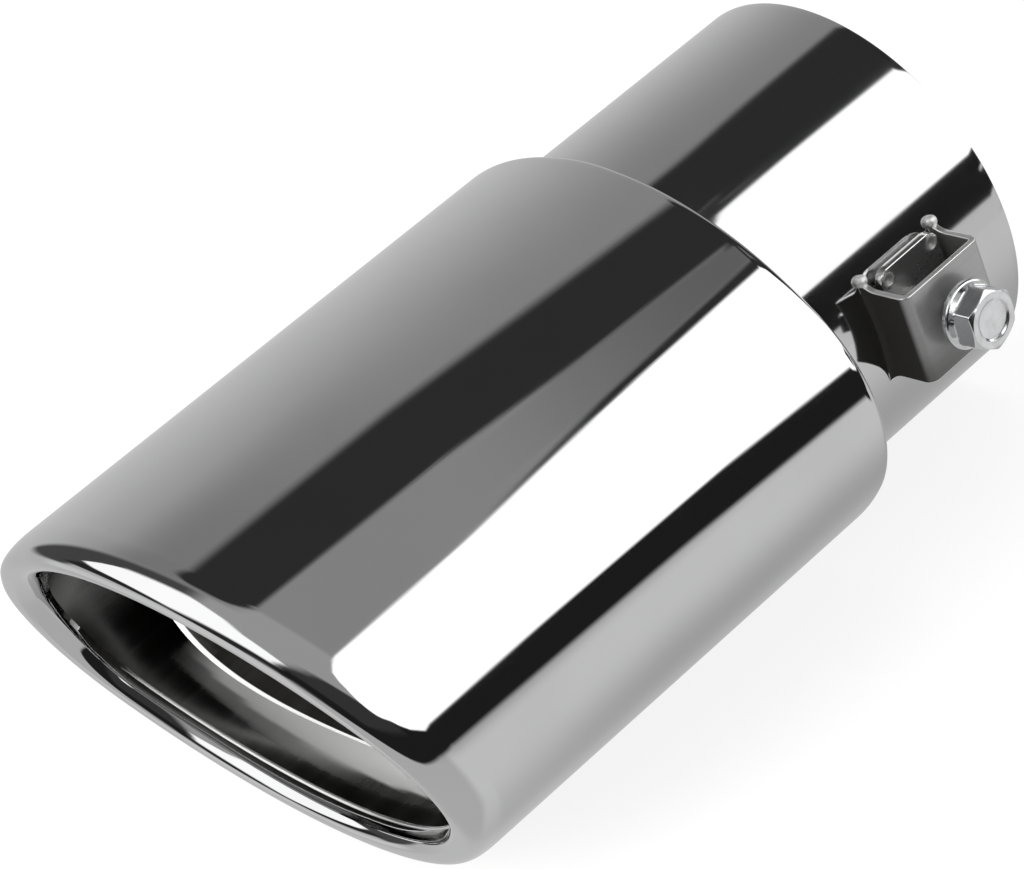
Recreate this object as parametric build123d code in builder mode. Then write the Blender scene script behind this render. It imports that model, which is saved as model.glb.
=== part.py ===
"""Clamp-on exhaust tip: oval slash-cut sleeve over a round inlet pipe, with a bolt clamp on its side.

Millimetres. The inlet pipe runs along Y: its rear rim is centred on the origin and the mouth faces -Y.
X is the long axis of the oval sleeve, and the clamp stands on the pipe's +X side. Z is up.
"""
import math
import os

from build123d import *

# Inlet pipe, a welded tube whose rear end is expanded to a socket for the tail pipe
pipe_outer_radius = 32.5
pipe_wall = 1.0
pipe_rim_round = 0.3
pipe_recess = 12.3
pipe_seam_angle = 247.0
socket_depth = 50.0
socket_step = 0.5
socket_taper = 2.0

# Slash cut, shared by the mouth of the sleeve and the front end of the pipe
slash_angle = 17.5

# Oval sleeve, with a thin gap to the pipe above and below and a deep pocket on each side
sleeve_wall = 0.9
sleeve_pipe_gap = 0.2
sleeve_side_pocket = 12.4
sleeve_end_radius = 23.0
sleeve_rear = 43.5
sleeve_length = 88.8
sleeve_rear_bend = 0.3

# Rolled lip of the mouth, as inside bend radii of the sheet
lip_outer_bend = 2.5
lip_inner_bend = 0.6
lip_land = 0.3
lip_skirt = 0.2

# Clamp station on the pipe, measured from the rear rim
clamp_station = 20.9

# Clamp bracket, a sheet folded to a channel and welded to the pipe along the ends of its legs
bracket_sheet = 1.0
bracket_length = 16.5
bracket_height = 14.8
bracket_stand = 7.8
bracket_web_bend = 0.5
weld_leg = 0.8
weld_height = 0.9
weld_overrun = 1.5

# Clamp bolt, a hexagon flange bolt with a 5 mm thread
bolt_radius = 2.5
bolt_tip_recess = 0.1
bolt_tip_chamfer = 0.5
bolt_head_gap = 2.0
bolt_head_height = 5.3
bolt_hex_flats = 8.6
bolt_hex_turn = 85
bolt_chamfer_angle = 30
bolt_flange_ledge = 0.2
bolt_flange_rim = 0.8
bolt_flange_rise = 1.0
bolt_face_land = 1.2
bolt_face_recess = 0.3
bolt_web_clearance = 0.4
bolt_running_clearance = 0.05

# Nut plate, spot welded to the pipe through four pressed dimples
plate_side_gap = 0.9
plate_height = 18.0
plate_sheet = 1.4
plate_corner = 2.2
plate_pipe_gap = 0.05
plate_dimple_radius = 1.2
plate_dimple_hollow = 0.9
plate_dimple_depth = 0.8
plate_dimple_inset = 1.6
plate_collar_wall = 0.8
plate_collar_recess = 0.1
plate_collar_gap = 0.25

# Worked-out sizes of the pipe and the sleeve
pipe_bore_radius = pipe_outer_radius - pipe_wall
pipe_front_radius = pipe_outer_radius - socket_step
pipe_front_bore = pipe_bore_radius - socket_step
taper_end = socket_depth + socket_taper
sleeve_half_width = pipe_outer_radius + sleeve_side_pocket + sleeve_wall
sleeve_half_height = pipe_outer_radius + sleeve_pipe_gap + sleeve_wall
mouth_distance = sleeve_rear + sleeve_length
pipe_length = mouth_distance - pipe_recess
overrun = 2 * mouth_distance

# Worked-out lip: at the top the slash makes a sharp corner outside and a blunt one inside
slash = math.radians(slash_angle)
lip_outer_round = lip_outer_bend + sleeve_wall
lip_inner_round = lip_inner_bend + sleeve_wall
sharp_setback = lip_outer_round * math.tan(math.pi / 4 + slash / 2)
blunt_setback = lip_inner_round * math.tan(math.pi / 4 - slash / 2)
lip_width = (sharp_setback + lip_land + blunt_setback) * math.cos(slash)
lip_depth = lip_outer_round * (1 + math.sin(slash)) + lip_skirt

# Worked-out sizes of the clamp
web_outer = pipe_outer_radius + bracket_stand
web_inner = web_outer - bracket_sheet
leg_spread = (bracket_length - bracket_sheet) / 2
weld_turn = math.degrees((bracket_height + 2 * weld_overrun) / pipe_outer_radius)
plate_length = bracket_length - 2 * (bracket_sheet + plate_side_gap)
plate_inner = pipe_outer_radius + plate_pipe_gap
plate_outer = plate_inner + plate_sheet
thread_hole_radius = bolt_radius + bolt_running_clearance
collar_radius = thread_hole_radius + plate_collar_wall
collar_depth = plate_inner - pipe_bore_radius - plate_collar_recess
pipe_hole_radius = collar_radius + plate_collar_gap
bolt_seat = web_outer + bolt_head_gap
bolt_length = bolt_seat - pipe_bore_radius - bolt_tip_recess
bolt_hex_corner = bolt_hex_flats / (2 * math.cos(math.pi / 6))
bolt_flange_radius = bolt_hex_corner + bolt_flange_ledge

# Planes: the slash planes face forwards, and the others hold the pipe's axis
slash_normal = Vector(0, -math.cos(slash), -math.sin(slash))
mouth_plane = Plane((0, -mouth_distance, 0), x_dir=(1, 0, 0), z_dir=slash_normal)
pipe_front_plane = Plane((0, -pipe_length, 0), x_dir=(1, 0, 0), z_dir=slash_normal)
mouth_axis = Axis((0, 0, 0), slash_normal)
bolt_axis = Axis((0, -clamp_station, 0), (1, 0, 0))


def clamp_plane(distance):
    """Plane square to the bolt's axis, at a distance from the pipe's axis, centred on the bolt."""
    return Plane((distance, -clamp_station, 0), x_dir=(0, 1, 0), z_dir=(1, 0, 0))


def radial_plane(angle):
    """Plane through the pipe's axis, turned from +X towards +Z, with the radius along its own x."""
    turn = math.radians(angle)
    x_dir = (math.cos(turn), 0, math.sin(turn))
    return Plane((0, 0, 0), x_dir=x_dir, z_dir=(-math.sin(turn), 0, math.cos(turn)))


def section_plane(distance):
    """Plane square to the pipe, at a distance in front of its rear rim, facing the mouth."""
    return Plane.XZ.offset(distance)


def oval(inset, mode=Mode.ADD):
    """Oval section of four tangent arcs, drawn a distance inside the sleeve's outer face."""
    half_width = sleeve_half_width - inset
    half_height = sleeve_half_height - inset
    end_radius = sleeve_end_radius - inset
    end_centre = half_width - end_radius
    broad_radius = (end_centre**2 + half_height**2 - end_radius**2) / (2 * (half_height - end_radius))
    broad_centre = broad_radius - half_height
    joint = math.degrees(math.atan2(broad_centre, end_centre))
    with BuildLine() as outline:
        CenterArc((end_centre, 0), end_radius, -joint, 2 * joint)
        CenterArc((0, -broad_centre), broad_radius, joint, 180 - 2 * joint)
        CenterArc((-end_centre, 0), end_radius, 180 - joint, 2 * joint)
        CenterArc((0, broad_centre), broad_radius, 180 + joint, 180 - 2 * joint)
    make_face(outline.edges(), mode=mode)


# Hollow of the sleeve behind the lip, with the sheet's wall left all round
with BuildPart() as sleeve_hollow:
    with BuildSketch(section_plane(sleeve_rear + sleeve_wall)):
        oval(sleeve_wall)
    extrude(amount=overrun)
    split(bisect_by=mouth_plane.offset(-lip_depth), keep=Keep.BOTTOM)
    fillet(faces().sort_by(Axis.Y)[-1].edges(), sleeve_rear_bend)

# Hollow of the lip, between the sleeve's wall and the skirt that is turned back inside it
with BuildPart() as lip_hollow:
    with BuildSketch(section_plane(sleeve_rear)):
        oval(sleeve_wall)
        oval(lip_width - sleeve_wall, Mode.SUBTRACT)
    extrude(amount=overrun)
    split(bisect_by=mouth_plane.offset(-sleeve_wall), keep=Keep.BOTTOM)
    lip_front = faces().sort_by(mouth_axis)[-1]
    fillet(lip_front.outer_wire().edges(), lip_outer_bend)
    lip_front = faces().sort_by(mouth_axis)[-1]
    fillet(lip_front.inner_wires()[0].edges(), lip_inner_bend)
    split(bisect_by=mouth_plane.offset(-lip_depth), keep=Keep.TOP)

# Outer sleeve: one sheet, turned in at the rear to meet the pipe and rolled in at the mouth
with BuildPart() as outer_sleeve:
    with BuildSketch(section_plane(sleeve_rear)):
        oval(0)
    extrude(amount=overrun)
    split(bisect_by=mouth_plane, keep=Keep.BOTTOM)
    fillet(faces().sort_by(Axis.Y)[-1].edges(), sleeve_rear_bend + sleeve_wall)
    with BuildSketch(section_plane(sleeve_rear + sleeve_wall)):
        oval(lip_width)
    extrude(amount=overrun, mode=Mode.SUBTRACT)
    mouth_face = faces().sort_by(mouth_axis)[-1]
    fillet(mouth_face.outer_wire().edges(), lip_outer_round)
    mouth_face = faces().sort_by(mouth_axis)[-1]
    fillet(mouth_face.inner_wires()[0].edges(), lip_inner_round)
    add(sleeve_hollow.part, mode=Mode.SUBTRACT)
    add(lip_hollow.part, mode=Mode.SUBTRACT)
    with BuildSketch(section_plane(0)):
        Circle(pipe_outer_radius)
    extrude(amount=sleeve_rear + sleeve_wall + sleeve_rear_bend, mode=Mode.SUBTRACT)
outer_sleeve.part.label = "outer_sleeve"

# Inlet pipe: socket at the rear, square rear rim, slash-cut front rim, and a hole for the bolt
with BuildPart() as inlet_pipe:
    with BuildSketch(radial_plane(pipe_seam_angle)):
        with BuildLine():
            Polyline(
                (pipe_outer_radius, 0),
                (pipe_outer_radius, -socket_depth),
                (pipe_front_radius, -taper_end),
                (pipe_front_radius, -overrun),
                (pipe_front_bore, -overrun),
                (pipe_front_bore, -taper_end),
                (pipe_bore_radius, -socket_depth),
                (pipe_bore_radius, 0),
                close=True,
            )
        make_face()
    revolve(axis=Axis.Y)
    split(bisect_by=pipe_front_plane, keep=Keep.BOTTOM)
    fillet(faces().sort_by(Axis.Y)[-1].edges(), pipe_rim_round)
    fillet(faces().sort_by(mouth_axis)[-1].edges(), pipe_rim_round)
    with BuildSketch(clamp_plane(0)):
        Circle(pipe_hole_radius)
    extrude(amount=web_outer, mode=Mode.SUBTRACT)
inlet_pipe.part.label = "inlet_pipe"

# Clamp bracket: channel that stands on the pipe, a weld bead along the end of each leg, and the bolt's hole
with BuildPart() as clamp_bracket:
    with BuildSketch(Plane.XY):
        with Locations((web_outer / 2, -clamp_station)):
            Rectangle(web_outer, bracket_length)
        with Locations((web_inner / 2, -clamp_station)):
            Rectangle(web_inner, bracket_length - 2 * bracket_sheet, mode=Mode.SUBTRACT)
        fillet(vertices().group_by(Axis.X)[-2], bracket_web_bend)
        fillet(vertices().group_by(Axis.X)[-1], bracket_web_bend + bracket_sheet)
    extrude(amount=bracket_height / 2, both=True)
    with BuildSketch(section_plane(0)):
        Circle(pipe_outer_radius)
    extrude(amount=clamp_station + bracket_length, mode=Mode.SUBTRACT)
    for leg_station in (clamp_station - leg_spread, clamp_station + leg_spread):
        with BuildSketch(radial_plane(weld_turn / 2)):
            with BuildLine():
                Polyline(
                    (pipe_outer_radius, -leg_station - bracket_sheet / 2 - weld_leg),
                    (pipe_outer_radius, -leg_station + bracket_sheet / 2 + weld_leg),
                    (pipe_outer_radius + weld_height, -leg_station + bracket_sheet / 2),
                    (pipe_outer_radius + weld_height, -leg_station - bracket_sheet / 2),
                    close=True,
                )
            make_face()
        revolve(axis=Axis.Y, revolution_arc=weld_turn)
    with BuildSketch(clamp_plane(plate_outer)):
        Circle(bolt_radius + bolt_web_clearance)
    extrude(amount=bracket_stand, mode=Mode.SUBTRACT)
clamp_bracket.part.label = "clamp_bracket"

# Nut plate: flat sheet with pressed dimples on the pipe and a tapped collar down through the pipe's hole
with BuildPart() as nut_plate:
    with BuildSketch(clamp_plane(plate_inner)):
        RectangleRounded(plate_length, plate_height, plate_corner)
    extrude(amount=plate_sheet)
    dimple_length = plate_length - 2 * plate_dimple_inset
    dimple_height = plate_height - 2 * plate_dimple_inset
    with BuildSketch(clamp_plane(plate_inner)):
        with GridLocations(dimple_length, dimple_height, 2, 2):
            Circle(plate_dimple_radius)
    extrude(amount=-plate_height / 4)
    with BuildSketch(clamp_plane(plate_outer)):
        with GridLocations(dimple_length, dimple_height, 2, 2):
            Circle(plate_dimple_hollow)
    extrude(amount=-plate_dimple_depth, mode=Mode.SUBTRACT)
    with BuildSketch(section_plane(0)):
        Circle(pipe_outer_radius)
    extrude(amount=clamp_station + bracket_length, mode=Mode.SUBTRACT)
    with BuildSketch(clamp_plane(plate_inner)):
        Circle(collar_radius)
    extrude(amount=-collar_depth)
    with BuildSketch(clamp_plane(0)):
        Circle(thread_hole_radius)
    extrude(amount=web_outer, mode=Mode.SUBTRACT)
nut_plate.part.label = "nut_plate"

# Clamp bolt: hexagon head on a dished flange, with a plain shank down to the bore of the pipe
with BuildPart() as clamp_bolt:
    with BuildSketch(clamp_plane(bolt_seat)):
        RegularPolygon(bolt_hex_corner, 6, rotation=bolt_hex_turn)
    extrude(amount=bolt_head_height)
    with BuildSketch(clamp_plane(bolt_seat + bolt_head_height)):
        Circle(bolt_hex_flats / 2 - bolt_face_land)
    extrude(amount=-bolt_face_recess, mode=Mode.SUBTRACT)
    with BuildSketch(Plane.XY):
        with BuildLine():
            chamfer_drop = (bolt_hex_corner - bolt_hex_flats / 2) * math.tan(math.radians(bolt_chamfer_angle))
            head_top = bolt_seat + bolt_head_height
            Polyline(
                (bolt_seat, -clamp_station),
                (bolt_seat, -clamp_station + bolt_hex_corner),
                (head_top - chamfer_drop, -clamp_station + bolt_hex_corner),
                (head_top, -clamp_station + bolt_hex_flats / 2),
                (head_top, -clamp_station),
                close=True,
            )
        make_face()
    revolve(axis=bolt_axis, mode=Mode.INTERSECT)
    with BuildSketch(Plane.XY):
        with BuildLine():
            flange_top = bolt_seat + bolt_flange_rim
            Polyline(
                (bolt_seat, -clamp_station),
                (bolt_seat, -clamp_station + bolt_flange_radius),
                (flange_top, -clamp_station + bolt_flange_radius),
                (flange_top + bolt_flange_rise, -clamp_station + bolt_hex_flats / 2),
                (flange_top + bolt_flange_rise, -clamp_station),
                close=True,
            )
        make_face()
    revolve(axis=bolt_axis)
    with BuildSketch(clamp_plane(bolt_seat)):
        Circle(bolt_radius)
    extrude(amount=-bolt_length)
    chamfer(faces().sort_by(Axis.X)[0].edges(), bolt_tip_chamfer)
clamp_bolt.part.label = "clamp_bolt"

os.makedirs("parts", exist_ok=True)
for piece in (outer_sleeve, inlet_pipe, clamp_bracket, nut_plate, clamp_bolt):
    export_step(piece.part, f"parts/{piece.part.label}.step")
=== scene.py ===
"""Dress the exhaust tip: polished oval sleeve, inlet pipe, clamp bracket, nut plate and clamp bolt.

The pipe's axis is Y with the mouth toward -Y, X is the oval's long side with the clamp on +X, and Z is up.
Sizes in this file are in millimetres, and meshes are written in metres.
"""
import logging
import math
from dataclasses import dataclass, field
from enum import Enum
from typing import Callable

import bmesh
import bpy
import numpy as np
from mathutils import Matrix


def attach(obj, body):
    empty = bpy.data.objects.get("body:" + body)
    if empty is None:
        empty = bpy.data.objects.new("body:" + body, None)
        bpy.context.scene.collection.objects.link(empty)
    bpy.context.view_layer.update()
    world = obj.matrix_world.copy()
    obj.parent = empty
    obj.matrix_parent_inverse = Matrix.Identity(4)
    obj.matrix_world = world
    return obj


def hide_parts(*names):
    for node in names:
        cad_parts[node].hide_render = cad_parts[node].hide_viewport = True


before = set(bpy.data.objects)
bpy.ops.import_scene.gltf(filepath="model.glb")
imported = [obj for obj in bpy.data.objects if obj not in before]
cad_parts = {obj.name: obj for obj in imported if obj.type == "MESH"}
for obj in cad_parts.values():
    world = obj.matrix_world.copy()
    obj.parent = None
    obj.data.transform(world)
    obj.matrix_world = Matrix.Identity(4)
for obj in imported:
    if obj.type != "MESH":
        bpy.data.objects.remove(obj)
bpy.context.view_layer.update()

LOG = logging.getLogger("exhaust_tip")
MM = 0.001
FULL_TURN = 2.0 * math.pi
QUARTER = 0.5 * math.pi
Array = np.ndarray
Colour = tuple[float, float, float]
Triple = tuple[float, float, float]
Span = tuple[float, float]
WHITE = (1.0, 1.0, 1.0, 1.0)
Mapping = Callable[[Array, Array, Array], Array]
BentPath = tuple[Array, Array, Array, list[float]]


class Body(Enum):
    """The bodies that pieces ride on."""

    TIP = "tip"
    BOLT = "bolt"


# Meshes


def grid_faces(rows: int, columns: int, wrap_rows: bool, wrap_columns: bool) -> Array:
    """Four-cornered faces of a grid of points numbered row by row.

    Args:
        rows: Number of rows of points.
        columns: Number of points in a row.
        wrap_rows: Whether the last row joins the first.
        wrap_columns: Whether each row closes on itself.

    Returns:
        Point numbers, four to a face.
    """
    row = np.arange(rows if wrap_rows else rows - 1)
    column = np.arange(columns if wrap_columns else columns - 1)
    i, j = np.meshgrid(row, column, indexing="ij")
    next_i = (i + 1) % rows
    next_j = (j + 1) % columns
    corners = (i * columns + j, i * columns + next_j, next_i * columns + next_j, next_i * columns + j)
    return np.stack(corners, axis=-1).reshape(-1, 4)


@dataclass
class Shell:
    """A mesh in the making: points in millimetres, faces of four corners, and numbers per point."""

    points: Array
    faces: Array
    fields: dict[str, Array] = field(default_factory=dict)

    @classmethod
    def from_rings(
        cls, rings: Array, closed: bool = False, loops: bool = True, **fields: Array | float
    ) -> "Shell":
        """Join rows of points in order.

        Args:
            rings: Points as rows, columns, xyz.
            closed: Whether the last row joins the first.
            loops: Whether each row closes on itself.
            fields: Numbers that spread over rows and columns.

        Returns:
            The joined rows.
        """
        rows, columns = rings.shape[:2]
        spread = {name: np.broadcast_to(value, (rows, columns)).reshape(-1) for name, value in fields.items()}
        return cls(rings.reshape(-1, 3), grid_faces(rows, columns, closed, loops), spread)

    @staticmethod
    def join(*shells: "Shell") -> "Shell":
        """Put shells in one, with zero in the fields that a shell lacks.

        Args:
            shells: The shells, in order.

        Returns:
            A shell with all their points and faces.
        """
        starts = np.cumsum([0] + [len(shell.points) for shell in shells])
        faces = np.concatenate([shell.faces + start for shell, start in zip(shells, starts)])
        names = {name for shell in shells for name in shell.fields}
        fields = {
            name: np.concatenate([shell.fields.get(name, np.zeros(len(shell.points))) for shell in shells])
            for name in sorted(names)
        }
        return Shell(np.concatenate([shell.points for shell in shells]), faces, fields)

    def welded(self, reach: float = 0.002) -> "Shell":
        """Merge points closer than reach, and drop the faces that this closes up.

        Args:
            reach: Cell of the rounding that finds equal points, in millimetres.

        Returns:
            The merged shell, with a triangle's last point given twice.
        """
        keys = np.round(self.points / reach).astype(np.int64)
        _, first, inverse = np.unique(keys, axis=0, return_index=True, return_inverse=True)
        faces = inverse.reshape(-1)[self.faces]
        after = np.roll(faces, -1, axis=1)
        repeats = faces == after
        kept = repeats.sum(axis=1) <= 1
        faces, repeats = faces[kept], repeats[kept]
        turn = np.where(repeats.any(axis=1), repeats.argmax(axis=1) + 2, 0)
        order = (np.arange(4)[None, :] + turn[:, None]) % 4
        faces = np.take_along_axis(faces, order, axis=1)
        return Shell(self.points[first], faces, {name: value[first] for name, value in self.fields.items()})

    def outward(self) -> "Shell":
        """Turn the faces round where the signed volume of the closed shell is below zero.

        Returns:
            This shell.
        """
        a, b, c, d = (self.points[self.faces[:, k]] for k in range(4))
        volume = np.einsum("ij,ij->", a, np.cross(b, c)) + np.einsum("ij,ij->", a, np.cross(c, d))
        if volume < 0.0:
            self.faces = self.faces[:, ::-1]
        return self

    def corners(self) -> list[list[int]]:
        """Faces as Blender takes them: a face that gives one corner twice in a row becomes a triangle.

        Returns:
            The faces of four corners, then the triangles.
        """
        repeats = self.faces == np.roll(self.faces, -1, axis=1)
        triangle = repeats.any(axis=1)
        order = (np.arange(3)[None, :] + repeats[triangle].argmax(axis=1)[:, None] + 1) % 4
        threes = np.take_along_axis(self.faces[triangle], order, axis=1)
        return self.faces[~triangle].tolist() + threes.tolist()


@dataclass
class Piece:
    """A finished shell with its place in the record."""

    name: str
    body: Body
    node: str
    slot: str
    crease: float = 40.0

    def place(self, shell: Shell, material: bpy.types.Material) -> bpy.types.Object:
        """Write the shell to a Blender object that rides on its body and stands for its CAD node.

        Args:
            shell: Closed shell in millimetres.
            material: The finish.

        Returns:
            The object, at the origin.
        """
        done = shell.welded().outward()
        mesh = bpy.data.meshes.new(self.name)
        mesh.from_pydata((done.points * MM).tolist(), [], done.corners())
        for label, values in done.fields.items():
            layer = mesh.attributes.new(label, "FLOAT", "POINT")
            layer.data.foreach_set("value", np.ascontiguousarray(values, dtype=np.float32))
        mesh.validate()
        mesh.shade_smooth()
        mesh.set_sharp_from_angle(angle=math.radians(self.crease))
        mesh.materials.append(material)
        thing = bpy.data.objects.new(self.name, mesh)
        bpy.context.scene.collection.objects.link(thing)
        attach(thing, self.body.value)
        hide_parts(self.node)
        LOG.info("%s: %d points, %d faces", self.name, len(mesh.vertices), len(mesh.polygons))
        return thing


def rise(value: Array, low: float, high: float) -> Array:
    """Smooth step from 0 at low to 1 at high: t*t*(3-2t) of the clipped fraction."""
    t = np.clip((value - low) / (high - low), 0.0, 1.0)
    return t * t * (3.0 - 2.0 * t)


def spans(*stops: tuple[float, int]) -> Array:
    """Rising places with even steps between stops.

    Args:
        stops: Each stop's place and the number of steps that lead to it, none for the first.

    Returns:
        The places, stops included.
    """
    places = [np.array([stops[0][0]])]
    for (start, _), (end, steps) in zip(stops, stops[1:]):
        places.append(np.linspace(start, end, steps + 1)[1:])
    return np.concatenate(places)


def frame_loop(low_i: int, high_i: int, low_j: int, high_j: int, columns: int) -> Array:
    """Point numbers round a rectangle of grid lines, in order, each corner once.

    Args:
        low_i: First row.
        high_i: Last row.
        low_j: First column.
        high_j: Last column.
        columns: Number of points in a row of the grid.

    Returns:
        The closed loop's point numbers.
    """
    i = np.concatenate(
        [
            np.arange(low_i, high_i),
            np.full(high_j - low_j, high_i),
            np.arange(high_i, low_i, -1),
            np.full(high_j - low_j, low_i),
        ]
    )
    j = np.concatenate(
        [
            np.full(high_i - low_i, low_j),
            np.arange(low_j, high_j),
            np.full(high_i - low_i, high_j),
            np.arange(high_j, low_j, -1),
        ]
    )
    return i * columns + j


@dataclass
class SheetMetal:
    """A sheet over a grid of lines u and v, with a round hole and rounded cut edges.

    The sheet's place is a mapping of u, v and the distance from its middle surface. Grid cells inside the
    window of lines give way to rings that blend from the window's frame to the hole's circle.
    """

    u: Array
    v: Array
    thickness: float
    edge: float
    hole: tuple[float, float, float]
    window: tuple[float, float, float, float]
    wrap_u: bool = False
    layers: int = 7
    edge_steps: int = 4

    def _flat(self) -> tuple[Array, Array, Array]:
        """The sheet as a flat grid with its hole, up to the rounded edges.

        Returns:
            Points as u and v, faces, and the numbers of the points round the hole.
        """
        grid_u, grid_v = np.meshgrid(self.u, self.v, indexing="ij")
        flat = np.stack([grid_u, grid_v], axis=-1).reshape(-1, 2)
        columns = len(self.v)
        faces = grid_faces(len(self.u), columns, False, False)
        low_u, high_u, low_v, high_v = self.window
        middle = flat[faces].mean(axis=1)
        inside = ((middle > (low_u, low_v)) & (middle < (high_u, high_v))).all(axis=1)
        faces = faces[~inside]
        i = np.searchsorted(self.u, (low_u + 1e-6, high_u - 1e-6))
        j = np.searchsorted(self.v, (low_v + 1e-6, high_v - 1e-6))
        loop = frame_loop(i[0] - 1, i[1], j[0] - 1, j[1], columns)
        centre = np.array(self.hole[:2])
        offset = flat[loop] - centre
        circle = centre + offset / np.linalg.norm(offset, axis=1, keepdims=True) * (self.hole[2] + self.edge)
        share = np.linspace(0.0, 1.0, self.layers + 1)[1:, None, None]
        rings = flat[loop][None] * (1.0 - share) + circle[None] * share
        count = len(loop)
        numbers = np.concatenate([loop, len(flat) + np.arange(self.layers * count)])
        ring_faces = numbers[grid_faces(self.layers + 1, count, False, True)]
        flat = np.concatenate([flat, rings.reshape(-1, 2)])
        return flat, np.concatenate([faces, ring_faces]), numbers[-count:]

    def _edge_path(self) -> tuple[Array, Array]:
        """A cut edge's profile, from the upper face round two small arcs to the lower face.

        Returns:
            Reach out of the sheet, and depth above its middle.
        """
        angle = np.linspace(0.0, QUARTER, self.edge_steps + 1)
        reach = self.edge * np.sin(angle)
        depth = 0.5 * self.thickness - self.edge * (1.0 - np.cos(angle))
        return np.concatenate([reach, reach[::-1]]), np.concatenate([depth, -depth[::-1]])

    def _strip(self, flat: Array, outward: Array, mapping: Mapping, loops: bool) -> Shell:
        """A cut edge: each flat point goes outward by the edge path's reach, at the path's depth.

        Args:
            flat: Points along the edge, as u and v.
            outward: Unit directions out of the sheet, as u and v.
            mapping: Place of a point of the sheet.
            loops: Whether the edge closes on itself.

        Returns:
            The strip of the cut edge.
        """
        reach, depth = self._edge_path()
        u = flat[None, :, 0] + reach[:, None] * outward[None, :, 0]
        v = flat[None, :, 1] + reach[:, None] * outward[None, :, 1]
        rings = mapping(u, v, np.broadcast_to(depth[:, None], u.shape))
        return Shell.from_rings(rings, loops=loops, edge=1.0)

    def build(self, mapping: Mapping) -> Shell:
        """Both faces, the cut edges and the hole's wall.

        Args:
            mapping: Place of a point from u, v and the distance above the middle surface.

        Returns:
            A closed shell with the fields inside, which is 1 on the lower face, and edge, 1 on cut edges.
        """
        flat, faces, ring = self._flat()
        half = np.full(len(flat), 0.5 * self.thickness)
        upper = Shell(mapping(flat[:, 0], flat[:, 1], half), faces, {"inside": np.zeros(len(flat))})
        lower = Shell(mapping(flat[:, 0], flat[:, 1], -half), faces[:, ::-1], {"inside": np.ones(len(flat))})
        centre = np.array(self.hole[:2])
        inward = centre - flat[ring]
        inward /= np.linalg.norm(inward, axis=1, keepdims=True)
        parts = [upper, lower, self._strip(flat[ring], inward, mapping, True)]
        rows, columns = len(self.u), len(self.v)
        if self.wrap_u:
            first = np.arange(rows) * columns
            for line, sign in ((first, -1.0), (first + columns - 1, 1.0)):
                outward = np.broadcast_to((0.0, sign), (rows, 2))
                parts.append(self._strip(flat[line], outward, mapping, False))
        else:
            loop = frame_loop(0, rows - 1, 0, columns - 1, columns)
            low, high = flat[loop].min(axis=0), flat[loop].max(axis=0)
            outward = (flat[loop] >= high - 1e-9).astype(float) - (flat[loop] <= low + 1e-9).astype(float)
            parts.append(self._strip(flat[loop], outward, mapping, True))
        return consistent(Shell.join(*parts).welded())


def consistent(shell: Shell) -> Shell:
    """Let Blender turn all faces of a closed shell to agree, and read them back.

    Args:
        shell: Closed shell whose faces point either way.

    Returns:
        The same points with faces that agree.
    """

    def numbers(items: bpy.types.bpy_prop_collection, name: str) -> Array:
        """A whole number of each item.

        Args:
            items: Polygons or loops of the mesh.
            name: Their property.

        Returns:
            The numbers, in order.
        """
        values = np.empty(len(items), dtype=np.int32)
        items.foreach_get(name, values)
        return values

    mesh = bpy.data.meshes.new("turning")
    mesh.from_pydata(shell.points.tolist(), [], shell.corners())
    work = bmesh.new()
    work.from_mesh(mesh)
    bmesh.ops.recalc_face_normals(work, faces=work.faces)
    work.to_mesh(mesh)
    work.free()
    starts, totals = (numbers(mesh.polygons, name) for name in ("loop_start", "loop_total"))
    loops = numbers(mesh.loops, "vertex_index")
    places = (starts, starts + 1, starts + 2, starts + totals - 1)
    faces = np.stack([loops[place] for place in places], axis=1)
    bpy.data.meshes.remove(mesh)
    return Shell(shell.points, faces, shell.fields)


# Shader nodes


class Value:
    """A shader number; arithmetic on it adds Math nodes to its material."""

    def __init__(self, canvas: "Canvas", socket: bpy.types.NodeSocket) -> None:
        """Wrap one output socket of the canvas's material."""
        self.canvas = canvas
        self.socket = socket

    def _math(self, operation: str, first: "Value | float", second: "Value | float") -> "Value":
        """A Math node on two values."""
        node = self.canvas.node("ShaderNodeMath", {"operation": operation}, {0: first, 1: second})
        return Value(self.canvas, node.outputs[0])

    def __add__(self, other: "Value | float") -> "Value":
        """Sum."""
        return self._math("ADD", self, other)

    __radd__ = __add__

    def __sub__(self, other: "Value | float") -> "Value":
        """Difference."""
        return self._math("SUBTRACT", self, other)

    def __rsub__(self, other: float) -> "Value":
        """Difference from a number."""
        return self._math("SUBTRACT", other, self)

    def __mul__(self, other: "Value | float") -> "Value":
        """Product."""
        return self._math("MULTIPLY", self, other)

    __rmul__ = __mul__

    def either(self, other: "Value") -> "Value":
        """The larger of two values."""
        return self._math("MAXIMUM", self, other)

    def step(self, low: float, high: float) -> "Value":
        """Smooth step.

        Args:
            low: Where it is 0.
            high: Where it is 1.

        Returns:
            The step.
        """
        inputs = {"Value": self, "From Min": low, "From Max": high}
        node = self.canvas.node("ShaderNodeMapRange", {"interpolation_type": "SMOOTHSTEP"}, inputs)
        return Value(self.canvas, node.outputs["Result"])


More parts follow.
